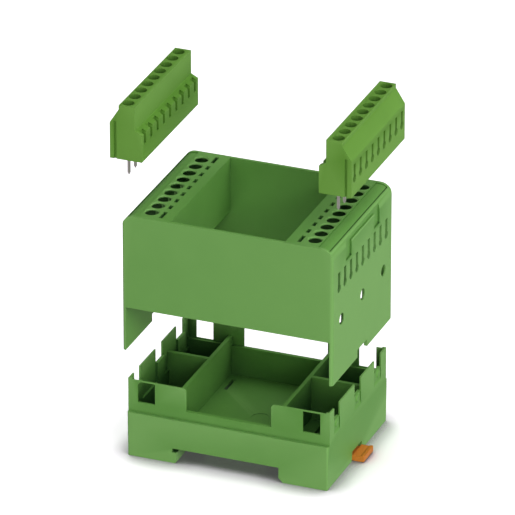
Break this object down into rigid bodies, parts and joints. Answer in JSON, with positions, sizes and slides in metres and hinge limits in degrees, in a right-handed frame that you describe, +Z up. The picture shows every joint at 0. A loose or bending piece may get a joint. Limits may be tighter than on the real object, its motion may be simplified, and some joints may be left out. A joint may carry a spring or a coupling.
{
  "type": "din rail enclosure",
  "caption": "Modular plastic enclosure for a 35 mm rail with a snap foot, lower and upper housings and two rows of board-mounted screw terminals, shown lifted apart.",
  "frame": {"origin": "on the surface that the feet stand on, under the middle of the lower housing", "axes": "+X across the rail towards the foot catch, +Y along the rail away from the viewer, +Z up from the rail through the open top"},
  "size_m": [0.079, 0.0516, 0.1178],
  "materials": {
    "green_housing_plastic": "fine matt moulded",
    "green_terminal_plastic": "fine matt moulded",
    "orange_catch_plastic": "fine matt moulded",
    "zinc_plated_steel": "bright zinc plated",
    "nickel_plated_brass": "satin nickel plated",
    "tinned_copper": "dull tinned"
  },
  "bodies": {
    "lower_housing": {"lower_housing": "green_housing_plastic"},
    "foot_catch": {"foot_catch": "orange_catch_plastic"},
    "upper_housing": {"upper_housing": "green_housing_plastic"},
    "left_terminal_row": {"left_terminal_body": "green_terminal_plastic", "left_pin_1": "tinned_copper", "left_pin_2": "tinned_copper", "left_pin_3": "tinned_copper", "left_pin_4": "tinned_copper", "left_pin_5": "tinned_copper", "left_pin_6": "tinned_copper", "left_pin_7": "tinned_copper", "left_pin_8": "tinned_copper", "left_pin_9": "tinned_copper"},
    "left_screw_1": {"left_screw_1": "zinc_plated_steel"},
    "left_cage_1": {"left_cage_1": "nickel_plated_brass"},
    "left_screw_2": {"left_screw_2": "zinc_plated_steel"},
    "left_cage_2": {"left_cage_2": "nickel_plated_brass"},
    "left_screw_3": {"left_screw_3": "zinc_plated_steel"},
    "left_cage_3": {"left_cage_3": "nickel_plated_brass"},
    "left_screw_4": {"left_screw_4": "zinc_plated_steel"},
    "left_cage_4": {"left_cage_4": "nickel_plated_brass"},
    "left_screw_5": {"left_screw_5": "zinc_plated_steel"},
    "left_cage_5": {"left_cage_5": "nickel_plated_brass"},
    "left_screw_6": {"left_screw_6": "zinc_plated_steel"},
    "left_cage_6": {"left_cage_6": "nickel_plated_brass"},
    "left_screw_7": {"left_screw_7": "zinc_plated_steel"},
    "left_cage_7": {"left_cage_7": "nickel_plated_brass"},
    "left_screw_8": {"left_screw_8": "zinc_plated_steel"},
    "left_cage_8": {"left_cage_8": "nickel_plated_brass"},
    "left_screw_9": {"left_screw_9": "zinc_plated_steel"},
    "left_cage_9": {"left_cage_9": "nickel_plated_brass"},
    "right_terminal_row": {"right_terminal_body": "green_terminal_plastic", "right_pin_1": "tinned_copper", "right_pin_2": "tinned_copper", "right_pin_3": "tinned_copper", "right_pin_4": "tinned_copper", "right_pin_5": "tinned_copper", "right_pin_6": "tinned_copper", "right_pin_7": "tinned_copper", "right_pin_8": "tinned_copper", "right_pin_9": "tinned_copper"},
    "right_screw_1": {"right_screw_1": "zinc_plated_steel"},
    "right_cage_1": {"right_cage_1": "nickel_plated_brass"},
    "right_screw_2": {"right_screw_2": "zinc_plated_steel"},
    "right_cage_2": {"right_cage_2": "nickel_plated_brass"},
    "right_screw_3": {"right_screw_3": "zinc_plated_steel"},
    "right_cage_3": {"right_cage_3": "nickel_plated_brass"},
    "right_screw_4": {"right_screw_4": "zinc_plated_steel"},
    "right_cage_4": {"right_cage_4": "nickel_plated_brass"},
    "right_screw_5": {"right_screw_5": "zinc_plated_steel"},
    "right_cage_5": {"right_cage_5": "nickel_plated_brass"},
    "right_screw_6": {"right_screw_6": "zinc_plated_steel"},
    "right_cage_6": {"right_cage_6": "nickel_plated_brass"},
    "right_screw_7": {"right_screw_7": "zinc_plated_steel"},
    "right_cage_7": {"right_cage_7": "nickel_plated_brass"},
    "right_screw_8": {"right_screw_8": "zinc_plated_steel"},
    "right_cage_8": {"right_cage_8": "nickel_plated_brass"},
    "right_screw_9": {"right_screw_9": "zinc_plated_steel"},
    "right_cage_9": {"right_cage_9": "nickel_plated_brass"}
  },
  "joints": [
    {"name": "cover_lift", "type": "slide", "parent": "lower_housing", "child": "upper_housing", "axis": [0, 0, 1], "range_m": [-0.036, 0]},
    {"name": "foot_catch_slide", "type": "slide", "parent": "lower_housing", "child": "foot_catch", "axis": [1, 0, 0], "range_m": [0, 0.0025]},
    {"name": "left_row_lift", "type": "slide", "parent": "upper_housing", "child": "left_terminal_row", "axis": [-0.5633, 0, 0.8262], "range_m": [-0.0133, 0]},
    {"name": "left_screw_1_turn", "type": "hinge", "parent": "left_terminal_row", "child": "left_screw_1", "pos_m": [-0.0343, -0.02032, 0.1131], "axis": [0, 0, -1], "range_deg": [-45, 1845]},
    {"name": "left_cage_1_rise", "type": "slide", "parent": "left_terminal_row", "child": "left_cage_1", "axis": [0, 0, 1], "range_m": [0, 0.00225]},
    {"name": "left_screw_2_turn", "type": "hinge", "parent": "left_terminal_row", "child": "left_screw_2", "pos_m": [-0.0343, -0.01524, 0.1131], "axis": [0, 0, -1], "range_deg": [-45, 1845]},
    {"name": "left_cage_2_rise", "type": "slide", "parent": "left_terminal_row", "child": "left_cage_2", "axis": [0, 0, 1], "range_m": [0, 0.00225]},
    {"name": "left_screw_3_turn", "type": "hinge", "parent": "left_terminal_row", "child": "left_screw_3", "pos_m": [-0.0343, -0.01016, 0.1131], "axis": [0, 0, -1], "range_deg": [-45, 1845]},
    {"name": "left_cage_3_rise", "type": "slide", "parent": "left_terminal_row", "child": "left_cage_3", "axis": [0, 0, 1], "range_m": [0, 0.00225]},
    {"name": "left_screw_4_turn", "type": "hinge", "parent": "left_terminal_row", "child": "left_screw_4", "pos_m": [-0.0343, -0.00508, 0.1131], "axis": [0, 0, -1], "range_deg": [-45, 1845]},
    {"name": "left_cage_4_rise", "type": "slide", "parent": "left_terminal_row", "child": "left_cage_4", "axis": [0, 0, 1], "range_m": [0, 0.00225]},
    {"name": "left_screw_5_turn", "type": "hinge", "parent": "left_terminal_row", "child": "left_screw_5", "pos_m": [-0.0343, 0, 0.1131], "axis": [0, 0, -1], "range_deg": [-45, 1845]},
    {"name": "left_cage_5_rise", "type": "slide", "parent": "left_terminal_row", "child": "left_cage_5", "axis": [0, 0, 1], "range_m": [0, 0.00225]},
    {"name": "left_screw_6_turn", "type": "hinge", "parent": "left_terminal_row", "child": "left_screw_6", "pos_m": [-0.0343, 0.00508, 0.1131], "axis": [0, 0, -1], "range_deg": [-45, 1845]},
    {"name": "left_cage_6_rise", "type": "slide", "parent": "left_terminal_row", "child": "left_cage_6", "axis": [0, 0, 1], "range_m": [0, 0.00225]},
    {"name": "left_screw_7_turn", "type": "hinge", "parent": "left_terminal_row", "child": "left_screw_7", "pos_m": [-0.0343, 0.01016, 0.1131], "axis": [0, 0, -1], "range_deg": [-45, 1845]},
    {"name": "left_cage_7_rise", "type": "slide", "parent": "left_terminal_row", "child": "left_cage_7", "axis": [0, 0, 1], "range_m": [0, 0.00225]},
    {"name": "left_screw_8_turn", "type": "hinge", "parent": "left_terminal_row", "child": "left_screw_8", "pos_m": [-0.0343, 0.01524, 0.1131], "axis": [0, 0, -1], "range_deg": [-45, 1845]},
    {"name": "left_cage_8_rise", "type": "slide", "parent": "left_terminal_row", "child": "left_cage_8", "axis": [0, 0, 1], "range_m": [0, 0.00225]},
    {"name": "left_screw_9_turn", "type": "hinge", "parent": "left_terminal_row", "child": "left_screw_9", "pos_m": [-0.0343, 0.02032, 0.1131], "axis": [0, 0, -1], "range_deg": [-45, 1845]},
    {"name": "left_cage_9_rise", "type": "slide", "parent": "left_terminal_row", "child": "left_cage_9", "axis": [0, 0, 1], "range_m": [0, 0.00225]},
    {"name": "right_row_lift", "type": "slide", "parent": "upper_housing", "child": "right_terminal_row", "axis": [0.5633, 0, 0.8262], "range_m": [-0.0133, 0]},
    {"name": "right_screw_1_turn", "type": "hinge", "parent": "right_terminal_row", "child": "right_screw_1", "pos_m": [0.0343, -0.02032, 0.1131], "axis": [0, 0, -1], "range_deg": [-45, 1845]},
    {"name": "right_cage_1_rise", "type": "slide", "parent": "right_terminal_row", "child": "right_cage_1", "axis": [0, 0, 1], "range_m": [0, 0.00225]},
    {"name": "right_screw_2_turn", "type": "hinge", "parent": "right_terminal_row", "child": "right_screw_2", "pos_m": [0.0343, -0.01524, 0.1131], "axis": [0, 0, -1], "range_deg": [-45, 1845]},
    {"name": "right_cage_2_rise", "type": "slide", "parent": "right_terminal_row", "child": "right_cage_2", "axis": [0, 0, 1], "range_m": [0, 0.00225]},
    {"name": "right_screw_3_turn", "type": "hinge", "parent": "right_terminal_row", "child": "right_screw_3", "pos_m": [0.0343, -0.01016, 0.1131], "axis": [0, 0, -1], "range_deg": [-45, 1845]},
    {"name": "right_cage_3_rise", "type": "slide", "parent": "right_terminal_row", "child": "right_cage_3", "axis": [0, 0, 1], "range_m": [0, 0.00225]},
    {"name": "right_screw_4_turn", "type": "hinge", "parent": "right_terminal_row", "child": "right_screw_4", "pos_m": [0.0343, -0.00508, 0.1131], "axis": [0, 0, -1], "range_deg": [-45, 1845]},
    {"name": "right_cage_4_rise", "type": "slide", "parent": "right_terminal_row", "child": "right_cage_4", "axis": [0, 0, 1], "range_m": [0, 0.00225]},
    {"name": "right_screw_5_turn", "type": "hinge", "parent": "right_terminal_row", "child": "right_screw_5", "pos_m": [0.0343, 0, 0.1131], "axis": [0, 0, -1], "range_deg": [-45, 1845]},
    {"name": "right_cage_5_rise", "type": "slide", "parent": "right_terminal_row", "child": "right_cage_5", "axis": [0, 0, 1], "range_m": [0, 0.00225]},
    {"name": "right_screw_6_turn", "type": "hinge", "parent": "right_terminal_row", "child": "right_screw_6", "pos_m": [0.0343, 0.00508, 0.1131], "axis": [0, 0, -1], "range_deg": [-45, 1845]},
    {"name": "right_cage_6_rise", "type": "slide", "parent": "right_terminal_row", "child": "right_cage_6", "axis": [0, 0, 1], "range_m": [0, 0.00225]},
    {"name": "right_screw_7_turn", "type": "hinge", "parent": "right_terminal_row", "child": "right_screw_7", "pos_m": [0.0343, 0.01016, 0.1131], "axis": [0, 0, -1], "range_deg": [-45, 1845]},
    {"name": "right_cage_7_rise", "type": "slide", "parent": "right_terminal_row", "child": "right_cage_7", "axis": [0, 0, 1], "range_m": [0, 0.00225]},
    {"name": "right_screw_8_turn", "type": "hinge", "parent": "right_terminal_row", "child": "right_screw_8", "pos_m": [0.0343, 0.01524, 0.1131], "axis": [0, 0, -1], "range_deg": [-45, 1845]},
    {"name": "right_cage_8_rise", "type": "slide", "parent": "right_terminal_row", "child": "right_cage_8", "axis": [0, 0, 1], "range_m": [0, 0.00225]},
    {"name": "right_screw_9_turn", "type": "hinge", "parent": "right_terminal_row", "child": "right_screw_9", "pos_m": [0.0343, 0.02032, 0.1131], "axis": [0, 0, -1], "range_deg": [-45, 1845]},
    {"name": "right_cage_9_rise", "type": "slide", "parent": "right_terminal_row", "child": "right_cage_9", "axis": [0, 0, 1], "range_m": [0, 0.00225]}
  ],
  "couplings": [
    {"joint": "left_screw_1_turn", "follows": "left_cage_1_rise", "rad_per_m": 13963},
    {"joint": "left_screw_2_turn", "follows": "left_cage_2_rise", "rad_per_m": 13963},
    {"joint": "left_screw_3_turn", "follows": "left_cage_3_rise", "rad_per_m": 13963},
    {"joint": "left_screw_4_turn", "follows": "left_cage_4_rise", "rad_per_m": 13963},
    {"joint": "left_screw_5_turn", "follows": "left_cage_5_rise", "rad_per_m": 13963},
    {"joint": "left_screw_6_turn", "follows": "left_cage_6_rise", "rad_per_m": 13963},
    {"joint": "left_screw_7_turn", "follows": "left_cage_7_rise", "rad_per_m": 13963},
    {"joint": "left_screw_8_turn", "follows": "left_cage_8_rise", "rad_per_m": 13963},
    {"joint": "left_screw_9_turn", "follows": "left_cage_9_rise", "rad_per_m": 13963},
    {"joint": "right_screw_1_turn", "follows": "right_cage_1_rise", "rad_per_m": 13963},
    {"joint": "right_screw_2_turn", "follows": "right_cage_2_rise", "rad_per_m": 13963},
    {"joint": "right_screw_3_turn", "follows": "right_cage_3_rise", "rad_per_m": 13963},
    {"joint": "right_screw_4_turn", "follows": "right_cage_4_rise", "rad_per_m": 13963},
    {"joint": "right_screw_5_turn", "follows": "right_cage_5_rise", "rad_per_m": 13963},
    {"joint": "right_screw_6_turn", "follows": "right_cage_6_rise", "rad_per_m": 13963},
    {"joint": "right_screw_7_turn", "follows": "right_cage_7_rise", "rad_per_m": 13963},
    {"joint": "right_screw_8_turn", "follows": "right_cage_8_rise", "rad_per_m": 13963},
    {"joint": "right_screw_9_turn", "follows": "right_cage_9_rise", "rad_per_m": 13963}
  ]
}
